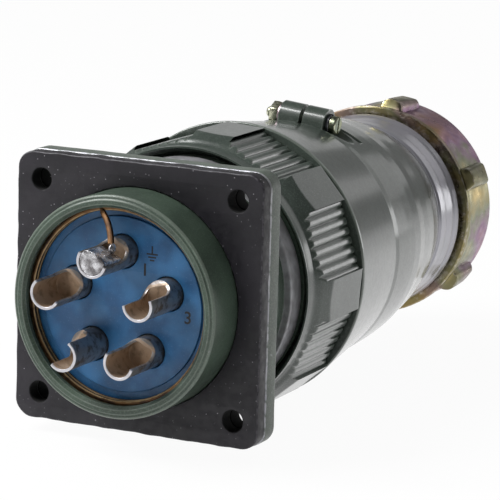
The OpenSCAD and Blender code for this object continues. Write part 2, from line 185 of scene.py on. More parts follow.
def markWearAndHighlight(mesh, sharpest=0.45):
    # float attribute, 1 on convex edges rounder than the given radius in mm, 0 on open faces
    count = len(mesh.vertices)
    place, normal = np.zeros(count * 3), np.zeros(count * 3)
    mesh.vertices.foreach_get("co", place)
    mesh.vertices.foreach_get("normal", normal)
    place, normal = place.reshape(-1, 3), normal.reshape(-1, 3)
    ends = np.zeros(len(mesh.edges) * 2, dtype=int)
    mesh.edges.foreach_get("vertices", ends)
    a, b = ends.reshape(-1, 2).T
    gap = place[a] - place[b]
    length = np.maximum((gap ** 2).sum(1), 1e-12)
    bendA, bendB = 2 * (normal[a] * gap).sum(1) / length, -2 * (normal[b] * gap).sum(1) / length
    bend = np.zeros(count)
    np.maximum.at(bend, a, bendA)
    np.maximum.at(bend, b, bendB)
    wearAndHighlight = np.clip(bend * sharpest * mm, 0, 1)
    layer = mesh.attributes.new("wearAndHighlight", "FLOAT", "POINT")
    layer.data.foreach_set("value", wearAndHighlight.astype(np.float32))


def finishPiece(thing, body, materials, replaced=(), crease=38):
    mesh = thing.data
    mesh.polygons.foreach_set("use_smooth", [True] * len(mesh.polygons))
    mesh.set_sharp_from_angle(angle=math.radians(crease))
    mesh.update()
    markWearAndHighlight(mesh)
    if not mesh.materials:
        for material in materials:
            mesh.materials.append(material)
    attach(thing, body)
    if replaced:
        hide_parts(*replaced)
    return thing


def roundTheAxis(name, sector, count, material):
    # geometry nodes: copies of one sector around the connector axis, welded to one body
    tree = bpy.data.node_groups.new(name + "Tree", "GeometryNodeTree")
    face = tree.interface
    face.new_socket("Geometry", in_out="INPUT", socket_type="NodeSocketGeometry")
    countSocket = face.new_socket("Sector count", in_out="INPUT", socket_type="NodeSocketInt")
    stepSocket = face.new_socket("Sector angle", in_out="INPUT", socket_type="NodeSocketFloat")
    face.new_socket("Geometry", in_out="OUTPUT", socket_type="NodeSocketGeometry")
    into = addNode(tree, "NodeGroupInput")
    points = addNode(tree, "GeometryNodePoints", {"Count": into.outputs["Sector count"]})
    index = addNode(tree, "GeometryNodeInputIndex")
    angle = addNode(tree, "ShaderNodeMath", {0: index.outputs[0], 1: into.outputs["Sector angle"]},
                    operation="MULTIPLY")
    turn = addNode(tree, "ShaderNodeCombineXYZ", {"Y": angle.outputs[0]})
    copies = addNode(tree, "GeometryNodeInstanceOnPoints", {
        "Points": points.outputs[0], "Instance": into.outputs["Geometry"], "Rotation": turn.outputs[0]})
    real = addNode(tree, "GeometryNodeRealizeInstances", {"Geometry": copies.outputs[0]})
    weld = addNode(tree, "GeometryNodeMergeByDistance", {"Geometry": real.outputs[0], "Distance": 0.00002})
    coat = addNode(tree, "GeometryNodeSetMaterial", {"Geometry": weld.outputs[0], "Material": material})
    addNode(tree, "NodeGroupOutput", {"Geometry": coat.outputs[0]})
    thing = newObject(name, sector)
    step = thing.modifiers.new("around", "NODES")
    step.node_group = tree
    step[countSocket.identifier] = count
    step[stepSocket.identifier] = 2 * math.pi / count
    applied(thing)
    tidy(thing.data)
    return thing


# ---- material helpers ----

def addNode(tree, kind, inputs=None, **settings):
    made = tree.nodes.new(kind)
    for key, value in settings.items():
        setattr(made, key, value)
    for key, value in (inputs or {}).items():
        if isinstance(value, bpy.types.NodeSocket):
            tree.links.new(value, made.inputs[key])
        else:
            made.inputs[key].default_value = value
    return made


def colour(code):
    # sRGB hex to linear
    parts = [int(code[i:i + 2], 16) / 255 for i in (1, 3, 5)]
    return [p / 12.92 if p <= 0.04045 else ((p + 0.055) / 1.055) ** 2.4 for p in parts] + [1]


def blank(name, roughness=0.5, metallic=0.0, **more):
    material = bpy.data.materials.new(name)
    material.use_nodes = True
    tree = material.node_tree
    shader = tree.nodes["Principled BSDF"]
    shader.inputs["Roughness"].default_value = roughness
    shader.inputs["Metallic"].default_value = metallic
    for key, value in more.items():
        shader.inputs[key.replace("_", " ")].default_value = value
    return material, tree, addNode(tree, "ShaderNodeTexCoord").outputs["Object"]


def grain(tree, where, sizeMm, detail=2.0, roughness=0.5, stretch=None):
    if stretch:
        where = addNode(tree, "ShaderNodeMapping", {"Vector": where, "Scale": stretch}).outputs[0]
    return addNode(tree, "ShaderNodeTexNoise", {
        "Vector": where, "Scale": 1 / (sizeMm * mm), "Detail": detail, "Roughness": roughness}).outputs["Fac"]


def ramp(tree, value, low, high, toLow=0.0, toHigh=1.0, smooth=True):
    return addNode(tree, "ShaderNodeMapRange", {
        "Value": value, "From Min": low, "From Max": high, "To Min": toLow, "To Max": toHigh},
        interpolation_type="SMOOTHSTEP" if smooth else "LINEAR").outputs[0]


def blend(tree, amount, first, second):
    made = addNode(tree, "ShaderNodeMix", {0: amount}, data_type="RGBA")
    for socket, value in ((made.inputs[6], first), (made.inputs[7], second)):
        if isinstance(value, bpy.types.NodeSocket):
            tree.links.new(value, socket)
        else:
            socket.default_value = colour(value) if isinstance(value, str) else value
    return made.outputs[2]


def maths(tree, operation, *values, clamp=False):
    return addNode(tree, "ShaderNodeMath", dict(enumerate(values)), operation=operation,
                   use_clamp=clamp).outputs[0]


def surfaced(material, base, rough, parts):
    # links colour and roughness; parts are bump heights with their depth in mm, laid over one another
    tree, normal = material.node_tree, None
    shader = tree.nodes["Principled BSDF"]
    tree.links.new(base, shader.inputs["Base Color"])
    tree.links.new(rough, shader.inputs["Roughness"])
    for height, depth in parts:
        made = addNode(tree, "ShaderNodeBump", {"Height": height, "Strength": 1.0, "Distance": depth * mm})
        if normal:
            tree.links.new(normal, made.inputs["Normal"])
        normal = made.outputs[0]
    tree.links.new(normal, shader.inputs["Normal"])
    return material


def wornEdge(tree, where, start, end, patch=1.2):
    # edge attribute broken up by a noise, 1 where the coat has rubbed through
    edge = wearAndHighlightMask(tree)
    broken = maths(tree, "MULTIPLY_ADD", grain(tree, where, patch, 3.0), 1.1, -0.55)
    return ramp(tree, maths(tree, "ADD", edge, broken), start, end)


def station(tree, where):
    # distance along the connector's axis, in metres
    return addNode(tree, "ShaderNodeSeparateXYZ", {"Vector": where}).outputs["Y"]


def wearAndHighlightMask(tree):
    # the convex-edge attribute that each mesh carries from its build; it masks rubbed wear and also the
    # painted edge highlight of the olive coats
    return addNode(tree, "ShaderNodeAttribute", attribute_name="wearAndHighlight").outputs["Fac"]


def dustSpecks(tree, where, spacingMm, size):
    # scattered light specks, a few tenths of a millimetre across
    cells = addNode(tree, "ShaderNodeTexVoronoi", {"Vector": where, "Scale": 1 / (spacingMm * mm)})
    near = ramp(tree, cells.outputs["Distance"], size, size * 0.4)
    keep = maths(tree, "GREATER_THAN", addNode(tree, "ShaderNodeSeparateColor", {
        "Color": cells.outputs["Color"]}).outputs[0], 0.6)
    return maths(tree, "MULTIPLY", near, keep)


def oliveCoat(name, deep, mid, light, roughness, peel=0.28, peelDepth=0.01, wearStart=0.8, bareBand=None,
              bareColour="#b9babd", dust=0.5, gloss=0.0):
    # olive drab stoved coat on aluminium: sprayed, so fine orange peel, rubbed silver at the edges, and a
    # painted highlight: a pale tint laid along every convex edge
    material, tree, where = blank(name, roughness, Coat_Weight=gloss, Coat_Roughness=0.14)
    patches = grain(tree, where, 9, 3.0)
    fine = grain(tree, where, peel, 2.0)
    coat = blend(tree, ramp(tree, patches, 0.35, 0.68), deep, mid)
    coat = blend(tree, ramp(tree, fine, 0.45, 0.75, 0, 0.5), coat, light)
    specks = dustSpecks(tree, where, 2.2, 0.05)
    coat = blend(tree, maths(tree, "MULTIPLY", specks, dust), coat, "#aeb2ab")
    # painted highlight: convex edges and rib tips tinted pale grey-green, up to a 0.3 share, standing in for
    # the light lines that gloss and lamps put there
    edge = wearAndHighlightMask(tree)
    coat = blend(tree, ramp(tree, edge, 0.3, 1.0, 0, 0.3), coat, "#8d968c")
    worn = wornEdge(tree, where, wearStart, wearStart + 0.3)
    rough = ramp(tree, grain(tree, where, 1.1, 2.0), 0.3, 0.7, roughness - 0.03, roughness + 0.03)
    bare = worn
    if bareBand:
        place = station(tree, where)
        begins = ramp(tree, place, (bareBand[0] - 0.15) * mm, (bareBand[0] + 0.15) * mm)
        ends = ramp(tree, place, (bareBand[1] - 0.1) * mm, (bareBand[1] + 0.1) * mm, 1, 0)
        bare = maths(tree, "MAXIMUM", worn, maths(tree, "MULTIPLY", begins, ends))
    metal = blend(tree, ramp(tree, grain(tree, where, 6, 2.0), 0.3, 0.7), "#a3a3aa", bareColour)
    final = blend(tree, bare, coat, metal)
    tree.links.new(maths(tree, "MULTIPLY", bare, 0.6), tree.nodes["Principled BSDF"].inputs["Metallic"])
    painted = maths(tree, "SUBTRACT", 1.0, bare)
    return surfaced(material, final, rough, [(maths(tree, "MULTIPLY", fine, painted), peelDepth)])


def paintedShadeInBores(material):
    # painted shade: the bores of the four screw holes, and a thin fringe round each, are painted near black
    # and made rough, as the shade inside the holes
    tree = material.node_tree
    shader = tree.nodes["Principled BSDF"]
    where = addNode(tree, "ShaderNodeTexCoord").outputs["Object"]
    folded = addNode(tree, "ShaderNodeVectorMath", {0: where}, operation="ABSOLUTE").outputs[0]
    flat = addNode(tree, "ShaderNodeVectorMath", {0: folded, 1: (1, 0, 1)}, operation="MULTIPLY").outputs[0]
    off = addNode(tree, "ShaderNodeVectorMath", {0: flat, 1: (0.0215, 0, 0.0215)}, operation="DISTANCE")
    inside = ramp(tree, off.outputs["Value"], 2.15 * mm, 2.5 * mm, 1, 0)
    base, rough = shader.inputs["Base Color"], shader.inputs["Roughness"]
    tree.links.new(blend(tree, inside, base.links[0].from_socket, "#070708"), base)
    rougher = addNode(tree, "ShaderNodeMix", {0: inside, 2: rough.links[0].from_socket, 3: 0.95})
    tree.links.new(rougher.outputs[0], rough)
    return material


def plainCoat(name, base, light, roughness, metallic=0.0, size=0.8, depth=0.01, edge=None):
    # for moulded and plated parts: two close tones, fine relief, rubbed edges if asked
    material, tree, where = blank(name, roughness, metallic)
    tone = grain(tree, where, size * 4, 3.0)
    fine = grain(tree, where, size, 2.0)
    mixed = blend(tree, ramp(tree, tone, 0.35, 0.65), base, light)
    if edge:
        mixed = blend(tree, wornEdge(tree, where, 0.6, 1.0), mixed, edge)
    rough = ramp(tree, fine, 0.3, 0.7, roughness - 0.05, roughness + 0.07)
    return surfaced(material, mixed, rough, [(fine, depth)])


def mouldedRubber(name, base, light, roughness=0.5):
    # compression moulded black rubber: matt, faint bloom, carries white dust
    material, tree, where = blank(name, roughness)
    bloom = ramp(tree, grain(tree, where, 14, 3.0), 0.35, 0.7)
    mixed = blend(tree, bloom, base, light)
    specks = maths(tree, "MAXIMUM", dustSpecks(tree, where, 0.8, 0.17), dustSpecks(tree, where, 2.7, 0.075))
    settled = ramp(tree, grain(tree, where, 11, 2.0), 0.42, 0.62)
    share = maths(tree, "MULTIPLY_ADD", settled, 0.8, 0.25)
    mixed = blend(tree, maths(tree, "MULTIPLY", specks, share), mixed, "#a9a6ad")
    edge = wornEdge(tree, where, 0.8, 1.2, 0.7)
    mixed = blend(tree, maths(tree, "MULTIPLY", edge, 0.3), mixed, "#77747c")
    rough = ramp(tree, grain(tree, where, 1.4, 3.0), 0.3, 0.7, roughness - 0.08, roughness + 0.1)
    relief = [(grain(tree, where, 0.3, 2.0), 0.008), (grain(tree, where, 3.0, 3.0), 0.03)]
    return surfaced(material, mixed, rough, relief)


def mouldedBlue(name):
    # glass-filled thermoset moulding, dyed blue: satin skin, pale fibre specks
    material, tree, where = blank(name, 0.4)
    mixed = blend(tree, ramp(tree, grain(tree, where, 7, 3.0), 0.3, 0.7), "#214f7a", "#3672a5")
    fibres = ramp(tree, grain(tree, where, 0.35, 1.0), 0.6, 0.78, 0, 0.4)
    mixed = blend(tree, fibres, mixed, "#5f86a8")
    mixed = blend(tree, maths(tree, "MULTIPLY", dustSpecks(tree, where, 1.3, 0.06), 0.5), mixed, "#b5c4d0")
    rough = ramp(tree, grain(tree, where, 1.2, 3.0), 0.3, 0.7, 0.34, 0.5)
    return surfaced(material, mixed, rough, [(grain(tree, where, 0.4, 2.0), 0.01)])


def silverPlate(name, dull, bright, tarnish, metallic=1.0, roughness=0.28, mouthStation=-20.9):
    # silver plate over brass, turned: bright where rubbed at the mouth, brown sulphide bloom elsewhere
    material, tree, where = blank(name, roughness, metallic)
    bloom = ramp(tree, grain(tree, where, 1.8, 4.0, 0.6), 0.62 - tarnish * 0.4, 0.85 - tarnish * 0.4)
    mixed = blend(tree, bloom, bright, dull)
    edge = wearAndHighlightMask(tree)
    place = station(tree, where)
    mouth = ramp(tree, place, (mouthStation - 0.2) * mm, mouthStation * mm, 1, 0.08)
    mixed = blend(tree, maths(tree, "MULTIPLY", ramp(tree, edge, 0.4, 0.9, 0, 0.9), mouth), mixed, "#dcdbe0")
    rough = maths(tree, "MULTIPLY_ADD", bloom, 0.2, roughness - 0.04)
    return surfaced(material, mixed, rough, [(grain(tree, where, 0.5, 3.0), 0.015)])


def rainbowZinc(name):
    # yellow chromate passivation: thin clear film, so yellow, pink, violet and green drift over the metal
    material, tree, where = blank(name, 0.34, 1.0)
    drift = maths(tree, "ADD", grain(tree, where, 16, 2.0, stretch=(1, 0.45, 1)),
                  maths(tree, "MULTIPLY", grain(tree, where, 3.5, 3.0), 0.18))
    film = addNode(tree, "ShaderNodeValToRGB", {"Fac": ramp(tree, drift, 0.36, 0.82, smooth=False)})
    stops = ((0.0, "#8f8a55"), (0.22, "#a8825e"), (0.42, "#b08a90"), (0.6, "#94768f"), (0.78, "#8c8f78"),
             (1.0, "#b3a070"))
    while len(film.color_ramp.elements) < len(stops):
        film.color_ramp.elements.new(0.5)
    for element, (spot, code) in zip(film.color_ramp.elements, stops):
        element.position = spot
        element.color = colour(code)
    place = station(tree, where)
    front = ramp(tree, place, (gland["front"] + 1.7) * mm, (gland["front"] + 2.6) * mm, 0.6, 0)
    mixed = blend(tree, front, film.outputs[0], "#7d7650")
    outward = addNode(tree, "ShaderNodeVectorMath", {0: where, 1: (1, 0, 1)}, operation="MULTIPLY").outputs[0]
    outward = addNode(tree, "ShaderNodeVectorMath", {0: outward}, operation="LENGTH").outputs["Value"]
    mixed = blend(tree, ramp(tree, outward, 0.0237, 0.0247, 0, 0.6), mixed, "#6f6a4c")
    edge = wornEdge(tree, where, 0.75, 1.1)
    mixed = blend(tree, maths(tree, "MULTIPLY", edge, 0.6), mixed, "#d8cfc4")
    rough = ramp(tree, grain(tree, where, 1.8, 3.0), 0.3, 0.7, 0.26, 0.44)
    relief = [(grain(tree, where, 0.6, 3.0), 0.012), (grain(tree, where, 3.0, 2.0), 0.04)]
    return surfaced(material, mixed, rough, relief)


gland = {"front": 109.9, "rear": 126, "skirt": 23.3, "flange": 23.85, "lugs": 6, "firstLug": 22,
         "lugRadius": 2.6, "lugCentre": 23.4, "lugTop": 26.0, "lugEnd": 122.6, "thread": 20.56,
         "threadEnd": 119, "mouth": 21.1, "cavity": 17.7, "cable": 12.5}
shellCoat = oliveCoat("olive coat on turned aluminium", "#38463b", "#455548", "#66756a", 0.36, wearStart=1.15)
# the flange's screw hole bores carry painted shade, near black
flangeCoat = paintedShadeInBores(oliveCoat("olive coat on milled flange", "#3d463e", "#4a544b", "#7b847b", 0.42,
                                  wearStart=0.72))
bareCollar = plainCoat("turned aluminium, bare", "#8b8b8d", "#a6a6aa", 0.4, 0.35, 0.6, 0.006)
nutCoat = oliveCoat("olive coat on milled aluminium", "#353e38", "#424b45", "#626c66", 0.34, peel=0.28,
                    peelDepth=0.009, wearStart=1.25, dust=0.2, gloss=0.8)
castCoat = oliveCoat("olive coat on cast aluminium", "#363f38", "#434c45", "#5f6963", 0.33, peel=0.28,
                     peelDepth=0.009, gloss=1.0, wearStart=1.3, bareBand=(99.0, 119.0),
                     bareColour="#a7a5ae", dust=0.2)
# the gasket's screw hole bores carry painted shade, near black
gasketRubber = paintedShadeInBores(mouldedRubber("moulded black rubber", "#1a181e", "#27242b"))
softRubber = mouldedRubber("grommet rubber", "#1b1b1c", "#262628", 0.6)
blueMoulding = mouldedBlue("blue glass-filled moulding")
greyMoulding = plainCoat("grey phenolic moulding", "#26292c", "#33373b", 0.45)
redSilicone = plainCoat("red silicone seal", "#6b2f28", "#7d3a31", 0.5)
cupOutside = silverPlate("silver plated brass, rubbed", "#75675b", "#a39f9d", 0.45, 0.85, 0.36)
cupInside = silverPlate("silver plated brass, tarnished", "#84705b", "#a58d76", 0.4, 0.3, 0.42)
bronzeWire = plainCoat("phosphor bronze wire, tarnished", "#43332a", "#765739", 0.38, 0.85, 0.7, 0.01,
                       "#96805f")
springSteel = plainCoat("oiled spring steel", "#2c2c2f", "#3b3b40", 0.38, 1.0, 0.5, 0.01, "#8a8a90")
tinSolder = plainCoat("tin solder, frozen bright", "#787577", "#ececf0", 0.26, 0.75, 0.5, 0.09)
screwZinc = plainCoat("pale zinc plated steel", "#80897a", "#a9ad8e", 0.3, 1.0, 0.6, 0.01, "#d5d6bd")
washerZinc = plainCoat("purple chromate zinc plate", "#6d5560", "#857089", 0.32, 1.0, 0.6, 0.01, "#b9a7ad")
plainZinc = plainCoat("plain zinc plate", "#a5a7aa", "#bcbec2", 0.34, 1.0, 0.7, 0.01)
glandFilm = rainbowZinc("yellow chromate passivated aluminium")
markInk = plainCoat("black pad-printed ink", "#15181d", "#1d2127", 0.4)
print("materials ready")


# ---- receptacle shell: turned body with a milled square flange ----

receptacle = {"flange": 54, "corner": 3.6, "thick": 4.2, "holePitch": 43, "holeRadius": 2.1,
              "barrel": 21.9, "bore": 19.4, "rear": -13, "seatFront": -3.2, "neck": 23.3, "neckEnd": 14.5,
              "collarEnd": 19, "mouth": 34, "cavity": 21.8, "cavityFront": 14, "stop": 12, "groove": -8.4,
              "grooveEnd": -11.4, "threadRadius": 25, "threadPitch": 2, "threadStart": 20.4,
              "threadEnd": 33.2, "threadDepth": 0.95}


def squareOutline(side, corner, wobble=0.0, seed=0):
    points, reach = [], side / 2 - corner
    for turn, cx, cz in ((0, 1, 1), (90, -1, 1), (180, -1, -1), (270, 1, -1)):
        for k in range(9):
            a = math.radians(turn + k * 11.25)
            points.append((cx * reach + corner * math.cos(a), cz * reach + corner * math.sin(a)))
        a = math.radians(turn + 90)
        nextX, nextZ = {0: (-1, 1), 90: (-1, -1), 180: (1, -1), 270: (1, 1)}[turn]
        endX, endZ = nextX * reach + corner * math.cos(a), nextZ * reach + corner * math.sin(a)
        startX, startZ = points[-1]
        points += [(startX + (endX - startX) * k / 40, startZ + (endZ - startZ) * k / 40)
                   for k in range(1, 40)]
    if wobble:
        points = [(x * (1 + wobble / side * noise.noise(Vector((x * 0.35, z * 0.35, seed)))),
                   z * (1 + wobble / side * noise.noise(Vector((x * 0.35, z * 0.35, seed + 5)))))
                  for x, z in points]
    return points


def circleOutline(cx, cz, radius, count=40):
    return [(cx + radius * math.cos(2 * math.pi * k / count), cz + radius * math.sin(2 * math.pi * k / count))
            for k in range(count)]


def stoodUp(curve, x, y, z):
    # a flat curve or text as a mesh facing -Y, its origin at the given place
    thing = newObject(curve.name, curve)
    mesh = bpy.data.meshes.new_from_object(thing.evaluated_get(bpy.context.evaluated_depsgraph_get()))
    bpy.data.objects.remove(thing)
    bpy.data.curves.remove(curve)
    mesh.transform(Matrix(((1, 0, 0, x * mm), (0, 0, -1, y * mm), (0, 1, 0, z * mm), (0, 0, 0, 1))))
    return mesh


def plateMesh(name, outlines, near, far, edge):
    # filled outlines in the X-Z plane between two stations, edges rounded
    curve = bpy.data.curves.new(name, "CURVE")
    curve.dimensions, curve.fill_mode = "2D", "BOTH"
    curve.extrude = (far - near - 2 * edge) / 2 * mm
    curve.bevel_depth, curve.bevel_resolution, curve.offset = edge * mm, 3, -edge * mm
    for outline in outlines:
        spline = curve.splines.new("POLY")
        spline.points.add(len(outline) - 1)
        for point, (x, z) in zip(spline.points, outline):
            point.co = (x * mm, z * mm, 0, 1)
        spline.use_cyclic_u = True
    return tidy(stoodUp(curve, 0, (near + far) / 2, 0))


def screwRidge(radius, pitch, start, end, depth):
    # shape function: a helical ridge cut into what lies on the given radius
    def shape(r, a, y):
        if abs(r - radius) < 0.02 and start < y < end:
            phase = (y / pitch - a / 360) % 1
            fade = min(1, (y - start) / 0.7, (end - y) / 0.7)
            r -= depth * fade * min(1, max(0, abs(2 * phase - 1) * 1.25 - 0.12))
        return r, a, y
    return shape


def screwHoles():
    half = receptacle["holePitch"] / 2
    return [circleOutline(x * half, z * half, receptacle["holeRadius"]) for x in (-1, 1) for z in (-1, 1)]


def buildReceptacle():
    s = receptacle
    t, b, o, n = s["threadRadius"], s["barrel"], s["bore"], s["neck"]
    turns = round((s["threadEnd"] - s["threadStart"]) / 0.25)
    thread = [(t, s["threadStart"] + 0.25 * k) for k in range(1, turns)]
    profile = softProfile([
        (o + 0.6, s["rear"], 0.2), (b - 1.0, s["rear"], 0.15), (b - 0.75, s["rear"] + 0.3, 0.1),
        (b - 0.3, s["rear"] + 0.25, 0.1), (b, s["rear"] + 0.6, 0.12), (b, s["seatFront"]),
        (b - 0.15, s["seatFront"]), (b - 0.15, 2), (n, 2), (n, s["neckEnd"], 0.3), (t, s["neckEnd"], 0.35),
        (t, s["collarEnd"], 0.25), (t - 1, s["collarEnd"] + 0.1), (t - 1, s["threadStart"] - 0.2),
        (t, s["threadStart"] - 0.1)] + thread + [
        (t, s["mouth"] - 0.6, 0.2), (t - 0.6, s["mouth"], 0.15), (s["cavity"], s["mouth"], 0.1),
        (s["cavity"], s["cavityFront"]), (o - 1.4, s["cavityFront"]), (o - 1.4, s["stop"]), (o, s["stop"]),
        (o, s["groove"]), (o + 0.75, s["groove"]), (o + 0.75, s["grooveEnd"]), (o, s["grooveEnd"]),
        (o, s["rear"] + 0.7, 0.1)])
    ridge = screwRidge(t, s["threadPitch"], s["threadStart"], s["threadEnd"], s["threadDepth"])
    body = tidy(turnedMesh("receptacleBody", profile, 160, ridge))
    holes = screwHoles()
    outline = squareOutline(s["flange"], s["corner"], 0.12, 3)
    flange = plateMesh("flange", [outline] + holes, 0.0, s["thick"], 0.4)
    thing = newObject("receptacleShell", joined("receptacleShell", [body, flange]))
    for material in (shellCoat, flangeCoat, bareCollar):
        thing.data.materials.append(material)
    for face in thing.data.polygons:
        x, y, z = face.center / mm
        far = math.hypot(x, z)
        face.material_index = 0
        if -0.1 < y < s["thick"] + 0.1 and far > b + 0.1:
            face.material_index = 1
        elif s["neckEnd"] - 0.1 < y < s["collarEnd"] + 1 and far > n + 0.2:
            face.material_index = 2
    finishPiece(thing, "receptacle", [], ["receptacle_shell"])


buildReceptacle()

gasket = {"thick": 3.2, "edge": 0.35, "ragged": 0.35, "seat": 22.0}


def buildGasket():
    s = gasket
    outlines = [squareOutline(receptacle["flange"] - 0.2, receptacle["corner"], s["ragged"], 11)]
    outlines += screwHoles()
    outlines.append(circleOutline(0, 0, s["seat"], 120))
    mesh = plateMesh("gasket", outlines, -s["thick"], -0.01, s["edge"])
    thing = newObject("panelGasket", mesh)
    finishPiece(thing, "receptacle", [gasketRubber], ["panel_gasket"])


buildGasket()
print("receptacle shell and gasket built")


# ---- insulator with contact numbers ----

insulator = {"face": -9.1, "raised": 17.3, "outer": 19.35, "shoulder": -8.5, "floor": -6, "end": 3,
             "holeRadius": 3.4, "contactCircle": 10.45}
contactAngles = [90, 162, 18, -54, -126]


def buildInsulator():
    s = insulator
    holes = []
    for a in contactAngles:
        x, _, z = polar(s["contactCircle"], a, 0)
        holes.append(circleOutline(x / mm, z / mm, s["holeRadius"]))
    rim = circleOutline(0, 0, s["raised"], 120)
    face = plateMesh("face", [rim] + holes, s["face"], s["floor"] + 0.1, 0.22)
    rest = tidy(turnedMesh("rest", softProfile([
        (0.001, s["floor"]), (s["raised"] - 0.3, s["floor"]), (s["raised"] - 0.3, s["shoulder"]),
        (s["outer"], s["shoulder"], 0.2), (s["outer"], s["end"]), (0.001, s["end"])]), 120))
    thing = newObject("rearInsulator", joined("rearInsulator", [face, rest]))
    finishPiece(thing, "receptacle", [blueMoulding], ["rear_insulator"])


def letterMesh(text, size, x, z, face):
    # built-in font, a printed skin 0.03 mm proud of the face
    curve = bpy.data.curves.new("mark", "FONT")
    curve.body, curve.size, curve.extrude, curve.offset = text, size * mm, 0.015 * mm, 0.05 * mm
    curve.align_x, curve.align_y = "CENTER", "CENTER"
    return stoodUp(curve, x, face - 0.014, z)


def buildMarks():
    marks = []
    for text, radius, angle in (("1", 8.8, 56), ("3", 14.4, -4)):
        x, _, z = polar(radius, angle, 0)
        marks.append(letterMesh(text, 3.4, x / mm, z / mm, insulator["face"]))
    # earth symbol: a stem and three bars
    x, _, z = polar(12.3, 58.5, 0)
    x, z = x / mm, z / mm
    for dz, w, h in ((0.95, 0.32, 1.5), (0.1, 2.4, 0.32), (-0.5, 1.7, 0.32), (-1.1, 1.0, 0.32)):
        box = [(x + a * w / 2, z + dz + b * h / 2) for a, b in ((-1, -1), (1, -1), (1, 1), (-1, 1))]
        marks.append(plateMesh("bar", [box], insulator["face"] - 0.03, insulator["face"] + 0.01, 0.005))
    thing = newObject("contactMarks", tidy(joined("contactMarks", marks), 0.000001))
    finishPiece(thing, "receptacle", [markInk])


buildInsulator()
buildMarks()
print("insulator and contact numbers built")


# ---- solder cup contacts ----

cup = {"outer": 3.2, "bore": 2.64, "tip": -21.5, "root": -9.0, "boreEnd": -12.4, "scoopRadius": 3.4,
       "scoopEnd": -15.3, "floor": 0.45}
cupTurns = [65, 50, 105, 65, 141]


def ownAxis(mesh, angle, turn):
    # moves a shape drawn about its own Y axis to contact place `angle`, its +X turned to `turn`
    x, _, z = polar(insulator["contactCircle"], angle, 0)
    mesh.transform(Matrix.Translation((x, 0, z)) @ Matrix.Rotation(-math.radians(turn), 4, "Y"))
    return mesh


def bmeshSolid(name, maker, **sizes):
    work = bmesh.new()
    maker(work, **sizes)
    mesh = bpy.data.meshes.new(name)
    work.to_mesh(mesh)
    work.free()
    return mesh


def boxMesh(low, high):
    mesh = bmeshSolid("box", bmesh.ops.create_cube, size=1)
    for v in mesh.vertices:
        v.co = Vector([(low[i] + high[i]) / 2 + v.co[i] * (high[i] - low[i]) for i in range(3)]) * mm
    return mesh


def buildContact(number, angle, turn):
    s = cup
    tube = turnedMesh("tube", softProfile([
        (0.001, s["boreEnd"] + 0.15), (s["bore"], s["boreEnd"], 0.2), (s["bore"], s["tip"], 0.1),
        (s["outer"], s["tip"], 0.12), (s["outer"], s["root"] + 1), (s["outer"] - 0.3, 2),
        (0.001, 2)], 0.7), 72)
    thing = newObject("cup%d" % number, tidy(tube))
    wide = s["outer"] + 1
    slab = boxMesh((s["floor"], s["tip"] - 2, -wide), (wide + 3, s["scoopEnd"], wide))
    scoop = s["scoopRadius"] * mm
    mill = bmeshSolid("mill", bmesh.ops.create_cone, cap_ends=True, segments=64, radius1=scoop,
                      radius2=scoop, depth=2 * wide * mm)
    mill.transform(Matrix.Translation(((s["floor"] + s["scoopRadius"]) * mm, s["scoopEnd"] * mm, 0)))
    carve(thing, [slab, mill])
    bevelled(thing, 0.1, 2, 35)
    mesh = thing.data
    mesh.materials.clear()
    mesh.materials.append(cupOutside)
    mesh.materials.append(cupInside)
    for face in mesh.polygons:
        face.material_index = 1 if math.hypot(face.center.x, face.center.z) < (s["bore"] + 0.03) * mm else 0
    ownAxis(mesh, angle, turn)
    finishPiece(thing, "receptacle", [], ["pin_contact_%d" % number], 45)


for number, (angle, turn) in enumerate(zip(contactAngles, cupTurns), 1):
    buildContact(number, angle, turn)

wire = {"radius": 19.2, "halfWidth": 0.55, "halfThick": 0.36, "pitch": 1.05, "start": -8.95, "turns": 2,
        "endAngle": 102, "tailEnd": 12.9}
solder = {"front": -21.46, "back": -13.0, "radius": 2.62, "lap": 3.05, "level": 1.1, "crown": 0.8}


def buildSolder():
    # a frozen pool: fills the cup to its cut edge, heaped at the mouth, thinning to the back
    s, rings, steps = solder, [], 60
    for i in range(steps + 1):
        f = i / steps
        y = s["front"] + (s["back"] - s["front"]) * f
        if y < cup["tip"]:
            # the skin lapped over the cup's end
            radius, swell = s["lap"] * math.sqrt(1 - ((cup["tip"] - y) / 0.6) ** 2 * 0.8), 1
        else:
            swell = min(1, (1 - f) / 0.1 + 0.3)
            radius = s["radius"] * swell
        level = s["level"] * (1 - 0.45 * f)
        ring = []
        for k in range(36):
            a = 2 * math.pi * k / 36
            x, z = radius * math.cos(a), radius * math.sin(a)
            top = level * swell + s["crown"] * swell * (1 - f) ** 3 * (1 - (z / max(radius, 0.01)) ** 2)
            x = min(x, top)
            lump = 0.16 * noise.noise(Vector((x * 0.9, y * 0.7, z * 0.9)))
            ring.append(((x + lump) * mm, y * mm, z * mm))
        rings.append(ring)
    mesh = loopMesh("solder", rings, wrap=False, capEnds=True)
    ownAxis(tidy(mesh), contactAngles[0], cupTurns[0])
    # a bead where the wire's tail is tacked down
    bead = bmeshSolid("bead", bmesh.ops.create_uvsphere, u_segments=20, v_segments=12, radius=mm)
    x, y, z = polar(wire["tailEnd"] - 0.9, wire["endAngle"] - 15.5, wire["start"] - 5.6)
    bead.transform(Matrix.Translation((x, y, z)) @ Matrix.Diagonal((0.7, 1.1, 1.0, 1)))
    thing = newObject("solderPool", joined("solderPool", [mesh, bead]))
    step = thing.modifiers.new("smooth", "SUBSURF")
    step.levels = step.render_levels = 1
    applied(thing)
    finishPiece(thing, "receptacle", [tinSolder], ["solder_fill"], 60)


buildSolder()
print("contacts and solder built")


# ---- spiral ring of flat bronze wire ----

